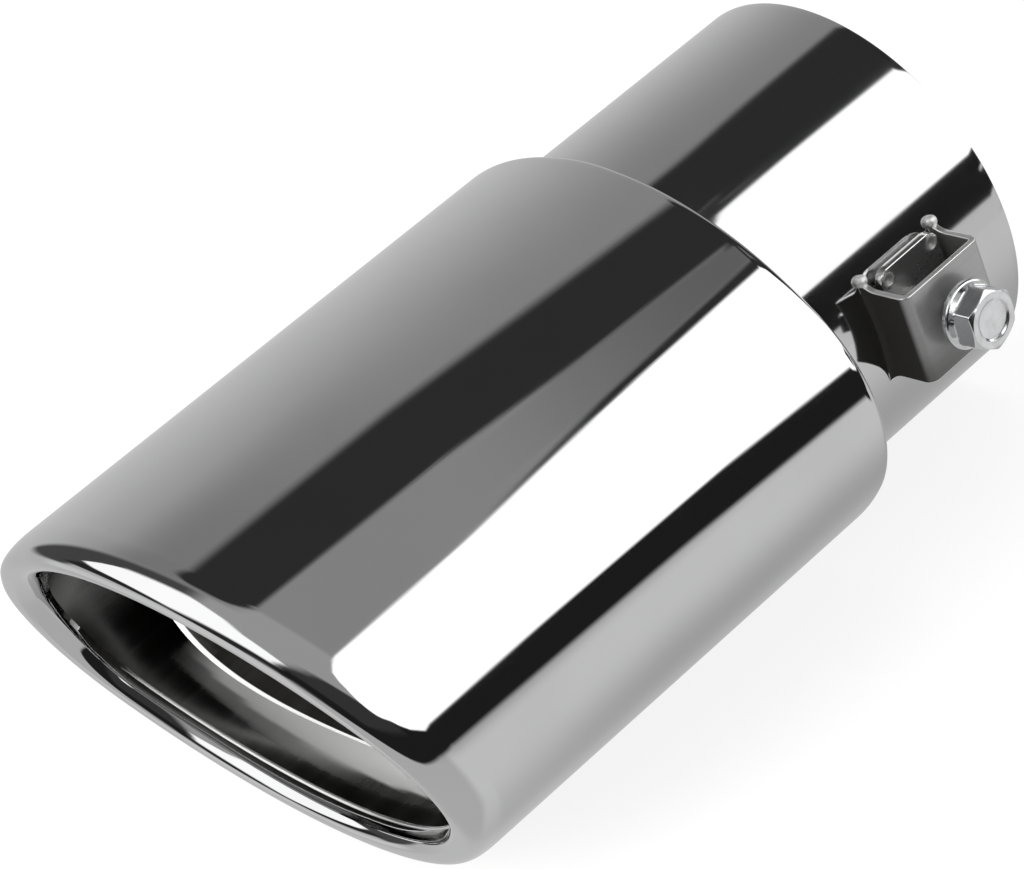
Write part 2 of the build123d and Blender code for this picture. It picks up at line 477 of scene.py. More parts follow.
class Canvas:
    """The node tree of one material or world, emptied, with its output node."""

    def __init__(
        self, owner: bpy.types.Material | bpy.types.World, output: str = "ShaderNodeOutputMaterial"
    ) -> None:
        """Empty the owner's tree.

        Args:
            owner: New material or world.
            output: Blender's name of its output node.
        """
        owner.use_nodes = True
        self.owner = owner
        self.tree = owner.node_tree
        self.tree.nodes.clear()
        self.output = self.tree.nodes.new(output)

    def node(self, kind: str, settings: dict | None = None, inputs: dict | None = None) -> bpy.types.Node:
        """Add a node: its settings first, then the values or links of its sockets.

        Args:
            kind: Blender's name of the node type.
            settings: Attributes of the node.
            inputs: Socket name or number to a number, a colour, a Value or an output socket.

        Returns:
            The node.
        """
        node = self.tree.nodes.new(kind)
        for key, value in (settings or {}).items():
            setattr(node, key, value)
        for key, value in (inputs or {}).items():
            source = value.socket if isinstance(value, Value) else value
            if isinstance(source, bpy.types.NodeSocket):
                self.tree.links.new(source, node.inputs[key])
            else:
                node.inputs[key].default_value = source
        return node

    def place(self) -> bpy.types.NodeSocket:
        """Object coordinates."""
        return self.node("ShaderNodeTexCoord").outputs["Object"]

    def noise(self, stretch: Triple, detail: float = 2.0, rough: float = 0.5) -> Value:
        """Noise over object coordinates.

        Args:
            stretch: Cells per metre along each axis.
            detail: Octaves.
            rough: Weight of the finer octaves.

        Returns:
            Noise from 0 to 1.
        """
        mapped = self.node("ShaderNodeMapping", {}, {"Vector": self.place(), "Scale": stretch})
        inputs = {"Vector": mapped.outputs[0], "Scale": 1.0, "Detail": detail, "Roughness": rough}
        return Value(self, self.node("ShaderNodeTexNoise", {}, inputs).outputs[0])

    def attribute(self, name: str) -> Value:
        """A number field of the mesh."""
        return Value(self, self.node("ShaderNodeAttribute", {"attribute_name": name}).outputs["Fac"])

    def blend(
        self, share: Value, low: Colour | bpy.types.NodeSocket, high: Colour | bpy.types.NodeSocket
    ) -> bpy.types.NodeSocket:
        """Mix of two colours.

        Args:
            share: 0 gives low and 1 gives high.
            low: Colour or link.
            high: Colour or link.

        Returns:
            The mixed colour.
        """
        ends = (end if isinstance(end, bpy.types.NodeSocket) else (*end, 1.0) for end in (low, high))
        inputs = dict(zip((0, 6, 7), (share, *ends)))
        return self.node("ShaderNodeMix", {"data_type": "RGBA", "clamp_factor": True}, inputs).outputs[2]

    def relief(self, height: Value, distance: float) -> bpy.types.NodeSocket:
        """Normals of a fine relief whose full height is the distance in metres."""
        inputs = {"Height": height, "Strength": 1.0, "Distance": distance}
        return self.node("ShaderNodeBump", {}, inputs).outputs[0]

    def glow(self, colour: Value | tuple[float, ...], strength: float) -> bpy.types.NodeSocket:
        """Shader of a glowing surface."""
        return self.node("ShaderNodeEmission", {}, {"Color": colour, "Strength": strength}).outputs[0]

    def mixed(
        self, share: Value | float, first: bpy.types.NodeSocket, second: bpy.types.NodeSocket
    ) -> bpy.types.NodeSocket:
        """Mix of two shaders, all first at 0 and all second at 1."""
        return self.node("ShaderNodeMixShader", {}, {0: share, 1: first, 2: second}).outputs[0]

    def close(self, shader: bpy.types.NodeSocket) -> bpy.types.Material | bpy.types.World:
        """Link a shader to the output, and give back the material or world."""
        self.tree.links.new(shader, self.output.inputs["Surface"])
        return self.owner

    def surface(self, inputs: dict) -> bpy.types.Material:
        """Close the tree with a Principled shader that has these values and links."""
        return self.close(self.node("ShaderNodeBsdfPrincipled", {}, inputs).outputs[0])


def new_canvas(name: str) -> Canvas:
    """Canvas of a new material."""
    return Canvas(bpy.data.materials.new(name))


def scaled(colour: Colour, factor: float) -> Colour:
    """Colour times a factor."""
    return tuple(factor * part for part in colour)


# Finishes


@dataclass(frozen=True)
class PolishedSteel:
    """Buffed stainless tube: near a mirror outside with fine lengthwise polish lines, and duller inside."""

    name: str
    tint: Colour
    mirror: float
    inner_tint: Colour = (0.30, 0.295, 0.285)
    inner_rough: float = 0.30
    edge_tint: Colour = (0.95, 0.95, 0.94)
    edge_rough: float = 0.06
    ground_tint: Colour = (0.80, 0.80, 0.79)
    ground_rough: float = 0.55
    ground_metal: float = 0.1
    line_cells: Triple = (1400.0, 14.0, 1400.0)
    line_rough: float = 0.02
    line_height: float = 0.0000015
    haze_cells: Triple = (46.0, 46.0, 46.0)
    haze_rough: float = 0.02
    haze_shade: float = 0.93
    drawn_cells: Triple = (420.0, 6.0, 420.0)
    drawn_rough: float = 0.18
    drawn_shade: float = 1.25
    drawn_relief: float = 8.0

    def material(self) -> bpy.types.Material:
        """Build the finish: polish lines and haze in the roughness, draw lines inside, a trace of relief.

        Returns:
            The material, which reads the fields inside, edge and ground.
        """
        canvas = new_canvas(self.name)
        lines = canvas.noise(self.line_cells, 3.0, 0.6)
        haze = canvas.noise(self.haze_cells, 4.0, 0.55).step(0.42, 0.75)
        drawn = canvas.noise(self.drawn_cells, 4.0, 0.65)
        inside, edge, ground = (canvas.attribute(name) for name in ("inside", "edge", "ground"))
        outer_rough = self.mirror + lines * self.line_rough + haze * self.haze_rough
        inner_rough = self.inner_rough + drawn * self.drawn_rough
        rough = outer_rough * (1.0 - inside) + inner_rough * inside
        rough = rough * (1.0 - ground) + ground * self.ground_rough + edge * self.edge_rough
        outer = canvas.blend(haze * 0.5, self.tint, scaled(self.tint, self.haze_shade))
        worn = canvas.blend(drawn.step(0.35, 0.7), self.inner_tint, scaled(self.inner_tint, self.drawn_shade))
        shade = canvas.blend(edge, canvas.blend(inside, outer, worn), self.edge_tint)
        height = lines * (1.0 - inside) + drawn * self.drawn_relief * inside
        inputs = {
            "Base Color": canvas.blend(ground, shade, self.ground_tint),
            "Metallic": 1.0 - ground * (1.0 - self.ground_metal),
            "Roughness": rough,
            "Normal": canvas.relief(height, self.line_height),
        }
        return canvas.surface(inputs)


@dataclass(frozen=True)
class SatinSteel:
    """Pressed stainless strip: rolled grain, brighter sheared edges, and painted shade that darkens the sheet
    where shade falls.
    """

    name: str
    tint: Colour
    rough: float
    edge_tint: Colour = (0.80, 0.80, 0.79)
    edge_rough: float = -0.08
    # Painted shade: its colour, added roughness and specular level, which make the sheet dark and non-metal
    # where its field is 1.
    shade_tint: Colour = (0.034, 0.033, 0.031)
    shade_rough: float = 0.1
    shade_gloss: float = 0.0
    weld_rough: float = 0.3
    grain_cells: Triple = (700.0, 60.0, 1500.0)
    grain_rough: float = 0.06
    grain_shade: float = 0.93
    grain_height: float = 0.0000015
    haze_cells: Triple = (160.0, 160.0, 160.0)
    haze_rough: float = 0.06

    def material(self) -> bpy.types.Material:
        """Build the finish: grain and handling haze in roughness and colour, bright edges, painted shade.

        Returns:
            The material, which reads the fields edge and weld and the painted shade field.
        """
        canvas = new_canvas(self.name)
        grain = canvas.noise(self.grain_cells, 4.0, 0.6)
        haze = canvas.noise(self.haze_cells, 4.0, 0.6).step(0.45, 0.7)
        edge, oxide, weld = (canvas.attribute(name) for name in ("edge", "oxide", "weld"))
        base = canvas.blend(grain.step(0.3, 0.75), self.tint, scaled(self.tint, self.grain_shade))
        rough = self.rough + (grain - 0.5) * self.grain_rough + haze * self.haze_rough
        rough = rough + oxide * self.shade_rough + edge * self.edge_rough + weld * self.weld_rough
        # Painted shade: the base colour goes dark and loses its metal where the shade field is high, except
        # on edges.
        inputs = {
            "Base Color": canvas.blend(edge, canvas.blend(oxide, base, self.shade_tint), self.edge_tint),
            "Metallic": 1.0 - oxide * (1.0 - edge),
            "Roughness": rough,
            "Specular IOR Level": self.shade_gloss,
            "Normal": canvas.relief(grain, self.grain_height),
        }
        return canvas.surface(inputs)


@dataclass(frozen=True)
class ZincPlate:
    """Bright zinc on a forged bolt: cool silver with a faint mottle, duller in the thread."""

    name: str
    tint: Colour = (0.74, 0.75, 0.77)
    warm: Colour = (0.66, 0.66, 0.65)
    rough: float = 0.17
    mottle_cells: Triple = (420.0, 420.0, 420.0)
    mottle_rough: float = 0.12
    forged_cells: Triple = (900.0, 900.0, 900.0)
    forged_height: float = 0.00002
    thread_tint: Colour = (0.42, 0.42, 0.41)
    thread_share: float = 0.7
    thread_rough: float = 0.15

    def material(self) -> bpy.types.Material:
        """Build the finish: mottled colour and roughness, forging dimples, dull thread.

        Returns:
            The material, which reads the field thread.
        """
        canvas = new_canvas(self.name)
        mottle = canvas.noise(self.mottle_cells, 5.0, 0.6)
        forged = canvas.noise(self.forged_cells, 3.0, 0.5)
        thread = canvas.attribute("thread")
        base = canvas.blend(mottle.step(0.35, 0.72), self.tint, self.warm)
        inputs = {
            "Base Color": canvas.blend(thread * self.thread_share, base, self.thread_tint),
            "Metallic": 1.0,
            "Roughness": self.rough + mottle.step(0.4, 0.8) * self.mottle_rough + thread * self.thread_rough,
            "Normal": canvas.relief(forged, self.forged_height),
        }
        return canvas.surface(inputs)


# Pieces


@dataclass(frozen=True)
class OvalSection:
    """Cross-section of the sleeve: two end arcs and two broad arcs that meet at one tangent."""

    half_width: float = 45.8
    half_height: float = 33.6
    end_radius: float = 23.0

    def at(self, angle: Array, inset: Array | float) -> tuple[Array, Array]:
        """Point whose outward normal has the given angle, moved inward along it.

        The broad arc's radius R satisfies (R - end)^2 = end_centre^2 + (R - half_height)^2.

        Args:
            angle: Angle of the normal from +X.
            inset: Distance inward.

        Returns:
            x and z.
        """
        centre = self.half_width - self.end_radius
        height, end = self.half_height, self.end_radius
        broad = (centre**2 + height**2 - end**2) / (2.0 * (height - end))
        drop = broad - height
        joint = math.atan2(drop, centre)
        cosine, sine = np.cos(angle), np.sin(angle)
        at_end = np.abs(cosine) >= math.cos(joint)
        x = np.where(at_end, np.sign(cosine) * centre + (end - inset) * cosine, (broad - inset) * cosine)
        z = np.where(at_end, (end - inset) * sine, -np.sign(sine) * drop + (broad - inset) * sine)
        return x, z


@dataclass(frozen=True)
class Mouth:
    """The slash cut of the mouth, whose top stands further forward than its bottom."""

    angle: float = math.radians(17.5)
    distance: float = 132.3

    def y(self, z: Array, depth: Array | float) -> Array:
        """Y of a point at height z and that depth behind the cut, measured square to it."""
        return -self.distance - math.tan(self.angle) * z + depth / math.cos(self.angle)


@dataclass
class OuterSleeve:
    """Oval outer sleeve: a rear wall drawn in to the pipe, a straight wall and a rolled lip."""

    section: OvalSection
    mouth: Mouth
    finish: PolishedSteel
    wall: float = 0.9
    rear: float = 43.5
    rear_round: float = 1.2
    rear_inner_round: float = 0.3
    pipe_radius: float = 32.52
    roll_in: float = 3.4
    roll_back: float = 6.4
    land: float = 0.3
    lip_width: float = 5.76
    curl: float = 3.2
    skirt: float = 3.9
    roll_rows: int = 25
    full_below: Span = (0.2, 0.6)
    full_end: Span = (0.4, 0.7)
    hem: float = 0.3
    hem_rows: int = 13
    hem_below: Span = (0.45, 0.75)
    hem_ground: float = 0.5
    hem_thin: float = 0.75
    hem_thin_end: Span = (-0.2, 0.3)
    throat_rows: int = 13
    throat_below: Span = (0.62, 0.86)
    throat_share: tuple[float, ...] = (0.0, 0.12, 0.25, 0.4, 0.6, 0.8, 1.0)
    throat_turn: tuple[float, ...] = (0.0, 22.0, 38.0, 51.0, 62.0, 69.0, 79.0)
    ground_front: float = 110.5
    ground_front_soft: Span = (-0.3, 0.3)
    ground_fade: float = 113.0
    ground_fade_soft: Span = (-0.8, 0.4)
    ground_slope: float = 0.11
    ground_half: float = 0.5
    ground_thin: float = 0.35
    ground_thin_x: Span = (-22.0, -6.0)
    ground_sides: Span = (0.6, 0.75)
    rear_rows: int = 9
    rear_gap_share: float = 0.92
    around: int = 480

    def _lip(self, angle: Array, under: float) -> tuple[Array, Array]:
        """Inset and depth from the straight wall over the lip to the skirt's end.

        A quarter ellipse, fuller as a fourth-power one along the lower side and the plain end, then a short
        land and a quarter ellipse that turns back into the mouth. Along the lower side a slower curl takes
        its place: its direction turns through throat_turn, and its inset and depth are the running sums of
        that direction's cosine and sine. There the skirt ends in a half-round hem.

        Args:
            angle: Angles of the wall's normals.
            under: Distance under the outer face.

        Returns:
            Inset and depth, with a row for each line of the profile and a column for each angle.
        """
        down = -np.sin(angle)
        below, hemmed = rise(down, *self.throat_below)[None], rise(down, *self.hem_below)[None]
        full = np.maximum(rise(down, *self.full_below), rise(-np.cos(angle), *self.full_end))[None]
        t = QUARTER * rise(np.linspace(0.0, 1.0, self.roll_rows), 0.0, 1.0)[:, None]
        cosine, sine = np.clip(np.cos(t), 0.0, 1.0), np.sin(t)
        out = cosine * (1.0 - full) + np.sqrt(cosine) * full
        ahead = sine * (1.0 - full) + np.sqrt(sine) * full
        roll_inset = under + (self.roll_in - under) * (1.0 - out)
        roll_depth = under + (self.roll_back - under) * (1.0 - ahead)
        t = np.linspace(0.0, QUARTER, self.throat_rows)[:, None]
        share = np.linspace(0.0, 1.0, self.throat_rows)
        turn = np.radians(np.interp(share, self.throat_share, self.throat_turn))
        slow_in, slow_back = (
            np.concatenate([[0.0], np.cumsum(part[1:] + part[:-1])])[:, None]
            for part in (np.cos(turn), np.sin(turn))
        )
        curl_in = np.sin(t) * (1.0 - below) + slow_in / slow_in[-1] * below
        curl_back = (1.0 - np.cos(t)) * (1.0 - below) + slow_back / slow_back[-1] * below
        start = self.roll_in + self.land
        curl_inset = start + (self.lip_width - under - start) * curl_in
        curl_depth = under + (self.curl - under) * curl_back
        t = np.linspace(0.0, math.pi, self.hem_rows)[:, None]
        hem_inset = self.lip_width - under + self.hem * np.sin(t) * hemmed
        hem_depth = self.skirt - self.hem * (1.0 + np.cos(t)) * np.ones_like(below)
        inset = np.concatenate([roll_inset, curl_inset, hem_inset])
        return inset, np.concatenate([roll_depth, curl_depth, hem_depth])

    def _rear(self, angle: Array, under: float, bend: float) -> Array:
        """Rear wall from the pipe's circle out to the oval, and its bend into the straight wall.

        The wall's points go from the circle straight to the oval's inset. The bend is a quarter circle
        whose radius never passes rear_gap_share of the gap between oval and pipe.

        Args:
            angle: Angles of the wall's normals.
            under: Distance under the outer face.
            bend: Radius of the bend.

        Returns:
            Points, with a row for each line of the profile.
        """
        x, z = self.section.at(angle, under)
        ray = np.arctan2(z, x)
        gap = np.hypot(x, z) - self.pipe_radius
        round_off = np.minimum(bend, self.rear_gap_share * gap)
        circle = np.stack([self.pipe_radius * np.cos(ray), self.pipe_radius * np.sin(ray)], axis=-1)
        start = np.stack(self.section.at(angle, under + round_off), axis=-1)
        share = np.linspace(0.0, 1.0, self.rear_rows)[:-1, None, None]
        flat = circle[None] * (1.0 - share) + start[None] * share
        flat_y = np.full(flat.shape[:2], -self.rear - under)
        t = np.linspace(0.0, QUARTER, self.rear_rows)[:, None]
        bend_x, bend_z = self.section.at(angle[None], under + round_off * (1.0 - np.sin(t)))
        bend_y = -self.rear - under - round_off * (1.0 - np.cos(t))
        flat_rows = np.stack([flat[..., 0], flat_y, flat[..., 1]], axis=-1)
        return np.concatenate([flat_rows, np.stack([bend_x, bend_y, bend_z], axis=-1)])

    def _face(self, angle: Array, under: float, bend: float, share: Array) -> Array:
        """One face of the sheet from the rear hole to the skirt's end: rear wall, straight wall, lip.

        Args:
            angle: Angles of the wall's normals.
            under: Distance under the outer face.
            bend: Radius of the rear bend.
            share: Places of the straight wall's rows, from 0 at the rear to 1 at the lip.

        Returns:
            Points, with a row for each line of the profile.
        """
        rear = self._rear(angle, under, bend)
        inset, depth = self._lip(angle, under)
        lip_x, lip_z = self.section.at(angle[None], inset)
        lip = np.stack([lip_x, self.mouth.y(lip_z, depth), lip_z], axis=-1)
        share = share[1:-1, None, None]
        wall = rear[-1][None] * (1.0 - share) + lip[0][None] * share
        return np.concatenate([rear, wall, lip])

    def _ground(self, rings: Array, angle: Array) -> Array:
        """How matt the inner wall is.

        It is ground where the pipe runs close to it, above and below, up to a line before the pipe's front,
        and half ground in a band before that, which thins out towards the clamp's side.

        Args:
            rings: Points of the wall.
            angle: Angles of the wall's normals.

        Returns:
            0 where polished to 1 where ground.
        """
        ahead = -rings[..., 1] + self.ground_slope * rings[..., 0]
        first = 1.0 - rise(ahead, *(self.ground_front + soft for soft in self.ground_front_soft))
        second = 1.0 - rise(ahead, *(self.ground_fade + soft for soft in self.ground_fade_soft))
        half = self.ground_half - self.ground_thin * rise(rings[..., 0], *self.ground_thin_x)
        return np.maximum(first, half * second) * rise(np.abs(np.sin(angle)), *self.ground_sides)

    def build(self) -> bpy.types.Object:
        """Sweep the closed profile round the oval: outer face out, inner face back.

        Returns:
            The placed sleeve.
        """
        angle = np.linspace(0.0, FULL_TURN, self.around, endpoint=False)
        # Close rows at both ends of the straight wall keep the bends' shading off the rest of it.
        outer_rows = spans((0.0, 0), (0.02, 3), (0.98, 10), (1.0, 3))
        inner_rows = spans((0.0, 0), (0.02, 2), (0.6, 10), (1.0, 44))
        outer = self._face(angle, 0.0, self.rear_round, outer_rows)
        inner = self._face(angle, self.wall, self.rear_inner_round, inner_rows)
        inside = np.concatenate([np.zeros(len(outer)), np.ones(len(inner))])[:, None]
        rings = np.concatenate([outer, inner[::-1]])
        hem = np.abs(np.arange(len(rings)) - len(outer) + 0.5)[:, None] < self.hem_rows
        thin = 1.0 - self.hem_thin * rise(np.cos(angle), *self.hem_thin_end)
        hem = hem * self.hem_ground * rise(-np.sin(angle), *self.hem_below) * thin
        ground = np.maximum(inside * self._ground(rings, angle[None]), hem)
        shell = Shell.from_rings(rings, closed=True, inside=inside, ground=ground)
        piece = Piece("outer_sleeve_polished", Body.TIP, "outer_sleeve", "polished_sleeve", 50.0)
        return piece.place(shell, self.finish.material())


@dataclass
class InletPipe:
    """Inlet pipe: an expanded socket for the tail pipe, a short taper, and a slash front behind the mouth."""

    finish: PolishedSteel
    radius: float = 32.5
    wall: float = 1.0
    socket: float = 50.0
    taper: float = 2.0
    step: float = 0.5
    front: float = 119.6
    front_angle: float = math.radians(21.6)
    bow: float = 2.0
    bow_height: float = -16.5
    bow_half: float = 13.3
    edge: float = 0.12
    chamfer_length: float = 0.6
    chamfer_height: float = 0.6
    hole_station: float = 20.9
    hole_radius: float = 3.6
    window: float = 6.5

    def _reach(self, z: Array) -> Array:
        """Length of the pipe at a height: the slash plane of its front and a shallow forward bow."""
        bow = self.bow * np.clip(1.0 - ((z - self.bow_height) / self.bow_half) ** 2, 0.0, 1.0)
        return self.front + math.tan(self.front_angle) * z + bow

    def _place(self, u: Array, v: Array, depth: Array) -> Array:
        """Point at arc length u, length v from the rear rim and a distance above the wall's middle.

        Past the taper the length stretches so that its end lies on the slash plane of the front rim, where a
        chamfer opens the bore.

        Args:
            u: Arc length from +X.
            v: Length from the rear rim, before the stretch.
            depth: Distance above the wall's middle.

        Returns:
            Points in the shared frame.
        """
        turn = u / self.radius
        start = self.socket + self.taper
        flare = self.chamfer_height * np.clip(1.0 - (self.front - v) / self.chamfer_length, 0.0, 1.0)
        depth = depth + flare * (0.5 - depth / self.wall)
        radius = self.radius - 0.5 * self.wall - self.step * rise(v, self.socket, start) + depth
        z = radius * np.sin(turn)
        stretch = start + (v - start) * (self._reach(z) - start) / (self.front - start)
        y = -np.where(v <= start, v, stretch)
        return np.stack([radius * np.cos(turn), y, z], axis=-1)

    def build(self) -> bpy.types.Object:
        """Roll the sheet round the axis with the bolt's hole in its +X side.

        Returns:
            The placed pipe.
        """
        half = math.pi * self.radius
        window = self.window
        u = spans((-half, 0), (-window, 150), (window, 26), (half, 150))
        near, far = self.hole_station - window, self.hole_station + window
        start = self.socket + self.taper
        front = self.front
        v = spans(
            (self.edge, 0), (near, 12), (far, 26), (self.socket, 16), (start, 8),
            (front - self.chamfer_length, 40), (front - self.edge, 4),
        )
        hole = (0.0, self.hole_station, self.hole_radius)
        sheet = SheetMetal(u, v, self.wall, self.edge, hole, (-window, window, near, far), True)
        shell = sheet.build(self._place)
        reach = self._reach(shell.points[:, 2])
        length = start + (-shell.points[:, 1] - start) * (front - start) / (reach - start)
        shell.fields["ground"] = rise(length, front - self.chamfer_length, front - 0.8 * self.chamfer_length)
        piece = Piece("inlet_pipe_polished", Body.TIP, "inlet_pipe", "polished_pipe", 50.0)
        return piece.place(shell, self.finish.material())


def bent_path(corners: Array, radii: list[float], step: float = 0.02) -> BentPath:
    """A path of straight runs joined by arcs.

    At each inner corner the run stops at r*tan(half turn) from it and an arc of radius r takes over.

    Args:
        corners: Corner points, ends included.
        radii: Arc radius at each inner corner.
        step: Spacing of the points.

    Returns:
        Arc length, points, left-hand normals, and the arc lengths where each arc starts and ends.
    """
    points, normals, marks = [], [], []
    here, length = corners[0], 0.0
    for k, radius in enumerate(radii):
        before = corners[k + 1] - corners[k]
        after = corners[k + 2] - corners[k + 1]
        before, after = before / np.linalg.norm(before), after / np.linalg.norm(after)
        turn = math.atan2(before[0] * after[1] - before[1] * after[0], float(before @ after))
        cut = radius * math.tan(0.5 * abs(turn))
        start, end = corners[k + 1] - cut * before, corners[k + 1] + cut * after
        run = np.linalg.norm(start - here)
        share = np.linspace(0.0, 1.0, max(2, int(run / step)))[:-1, None]
        points.append(here + share * (start - here))
        normals.append(np.broadcast_to((-before[1], before[0]), (len(share), 2)))
        side = math.copysign(1.0, turn)
        normal = side * np.array([-before[1], before[0]])
        angle = np.linspace(0.0, abs(turn), max(4, int(radius * abs(turn) / step)))[:-1, None]
        out = -normal * np.cos(angle) + before * np.sin(angle)
        points.append(start + radius * normal + radius * out)
        normals.append(-side * out)
        marks += [length + run, length + run + radius * abs(turn)]
        length, here = marks[-1], end
    last = corners[-1] - here
    share = np.linspace(0.0, 1.0, max(2, int(np.linalg.norm(last) / step)))[:, None]
    points.append(here + share * last)
    direction = last / np.linalg.norm(last)
    normals.append(np.broadcast_to((-direction[1], direction[0]), (len(share), 2)))
    path = np.concatenate(points)
    lengths = np.concatenate([[0.0], np.cumsum(np.linalg.norm(np.diff(path, axis=0), axis=1))])
    return lengths, path, np.concatenate(normals), marks


@dataclass
class ClampBracket:
    """U-shaped clamp bracket: a web with the bolt's clearance hole, and legs that flare into their welds."""

    finish: SatinSteel
    pipe_radius: float = 32.5
    sheet: float = 1.0
    edge: float = 0.2
    web_outer: float = 40.3
    station: float = 20.9
    length: float = 16.5
    half_height: float = 7.4
    web_bend: float = 0.5
    hole_radius: float = 2.9
    weld_leg: float = 0.8
    weld_rise: float = 1.5
    weld_blob: float = -0.5
    weld_overrun: float = 1.5
    weld_flare: float = 2.4
    sink_height: float = 12.0
    root: float = 0.06
    drop: Triple = (0.95, 1.05, 0.95)
    drop_place: float = 31.7
    drop_height: float = 8.6
    # Painted shade of the web and of the rear leg; the front leg takes it in full.
    web_shade: float = 0.32
    web_shade_most: float = 0.65
    web_shade_below: float = 0.2
    rear_leg_shade: float = 0.86
    window: float = 4.6

    def _path(self) -> BentPath:
        """The middle of the strip in the x-y plane, from the front leg's end over the web to the rear one's.

        Returns:
            The path, as bent_path gives it.
        """
        half = 0.5 * self.sheet
        low, high = self.pipe_radius - self.root, self.web_outer - half
        front = -self.station - 0.5 * self.length + half
        rear = -self.station + 0.5 * self.length - half
        corners = np.array([(low, front), (high, front), (high, rear), (low, rear)])
        return bent_path(corners, [self.web_bend + half] * 2)

    def _painted_shade(self, points: Array) -> Array:
        """Painted shade on the sheet: darkest on the front leg, a little less on the rear one, and on the web
        least at its upper rear corner and more towards its bottom.

        Args:
            points: Points of the sheet.

        Returns:
            0 where unshaded to 1 where darkest.
        """
        along = (points[:, 1] + self.station) / (0.5 * self.length)
        up = points[:, 2] / self.half_height
        web = np.clip(self.web_shade - self.web_shade * 0.5 * (along + up), 0.0, self.web_shade_most)
        web = web + self.web_shade_below * rise(-up, 0.1, 0.9)
        leg = np.where(along < 0.0, 1.0, self.rear_leg_shade)
        on_web = rise(points[:, 0], self.web_outer - 1.5, self.web_outer - 0.5)
        return leg * (1.0 - on_web) + web * on_web

    def _drops(self) -> Shell:
        """The drops on top of the welds: at two places a centre plus the radii times a unit ball's points.

        Returns:
            Both drops.
        """
        polar = np.linspace(0.0, math.pi, 17)[:, None]
        turn = np.linspace(0.0, FULL_TURN, 32, endpoint=False)[None]
        flat = np.sin(polar)
        ball = np.stack([flat * np.cos(turn), flat * np.sin(turn), np.cos(polar) + 0.0 * turn], axis=-1)
        side = 0.5 * (self.length - self.sheet)
        drops = []
        for end in (-side, side):
            centre = np.array((self.drop_place, -self.station + end, self.drop_height))
            rings = centre + ball * np.array(self.drop)
            drops.append(Shell.from_rings(rings, edge=1.0, weld=1.0).outward())
        return Shell.join(*drops)

    def build(self) -> bpy.types.Object:
        """Bend the strip along its path, and flare both ends where they are welded to the pipe.

        Near an end the thickness grows as a hollow quarter circle, less so at the corners, the height grows
        as the square of the nearness, and the end sinks by radius - sqrt(radius^2 - z^2) to follow the pipe.

        Returns:
            The placed bracket.
        """
        lengths, path, normals, marks = self._path()
        total = lengths[-1]
        middle = 0.5 * (marks[1] + marks[2])
        window = self.window
        height = self.half_height - self.edge
        leg = marks[0]

        def place(u: Array, v: Array, depth: Array) -> Array:
            """Point of the strip.

            Args:
                u: Length along the path.
                v: Height.
                depth: Distance from the strip's middle.

            Returns:
                Points in the shared frame.
            """
            inside = np.clip(u, 0.0, total)
            from_end = np.minimum(inside, total - inside)
            normal_x = np.interp(inside, lengths, normals[:, 0])
            normal_y = np.interp(inside, lengths, normals[:, 1])
            scale = np.hypot(normal_x, normal_y)
            near = np.clip(1.0 - from_end / self.weld_rise, 0.0, 1.0)
            half = 0.5 * self.sheet
            bead = self.weld_leg * (1.0 + self.weld_blob * rise(np.abs(v), 0.6 * height, height))
            thick = depth * (1.0 + bead / half * (1.0 - np.sqrt(1.0 - near**2)))
            flare = np.clip(1.0 - from_end / self.weld_flare, 0.0, 1.0) ** 2
            z = v * (1.0 + self.weld_overrun / self.half_height * flare)
            x = np.interp(inside, lengths, path[:, 0]) - normal_x / scale * thick
            y = np.interp(inside, lengths, path[:, 1]) - normal_y / scale * thick
            tall = np.minimum(np.abs(z), self.sink_height)
            sink = self.pipe_radius - np.sqrt(self.pipe_radius**2 - tall**2)
            return np.stack([x - sink * (1.0 - rise(from_end, 0.0, leg)), y, z], axis=-1)

        edge = self.edge
        u = spans(
            (edge, 0), (self.weld_rise, 12), (self.weld_flare, 6), (leg, 6), (marks[1], 10),
            (middle - window, 5), (middle + window, 20), (marks[2], 5), (marks[3], 10),
            (total - self.weld_flare, 6), (total - self.weld_rise, 6), (total - edge, 12),
        )
        v = spans((-height, 0), (-window, 12), (window, 20), (height, 12))
        sheet = SheetMetal(
            u, v, self.sheet, edge, (middle, 0.0, self.hole_radius),
            (middle - window, middle + window, -window, window),
        )
        shell = sheet.build(place).outward()
        # Painted shade over the legs and the web.
        shell.fields["oxide"] = self._painted_shade(shell.points)
        above = np.hypot(shell.points[:, 0], shell.points[:, 2]) - self.pipe_radius
        tops = rise(np.abs(shell.points[:, 2]), self.half_height - 0.5, self.half_height)
        shell.fields["edge"] = shell.fields["edge"] * np.maximum(rise(above, 0.3, 0.9), tops)
        piece = Piece("clamp_bracket_folded", Body.TIP, "clamp_bracket", "satin_bracket", 40.0)
        return piece.place(Shell.join(shell, self._drops()), self.finish.material())


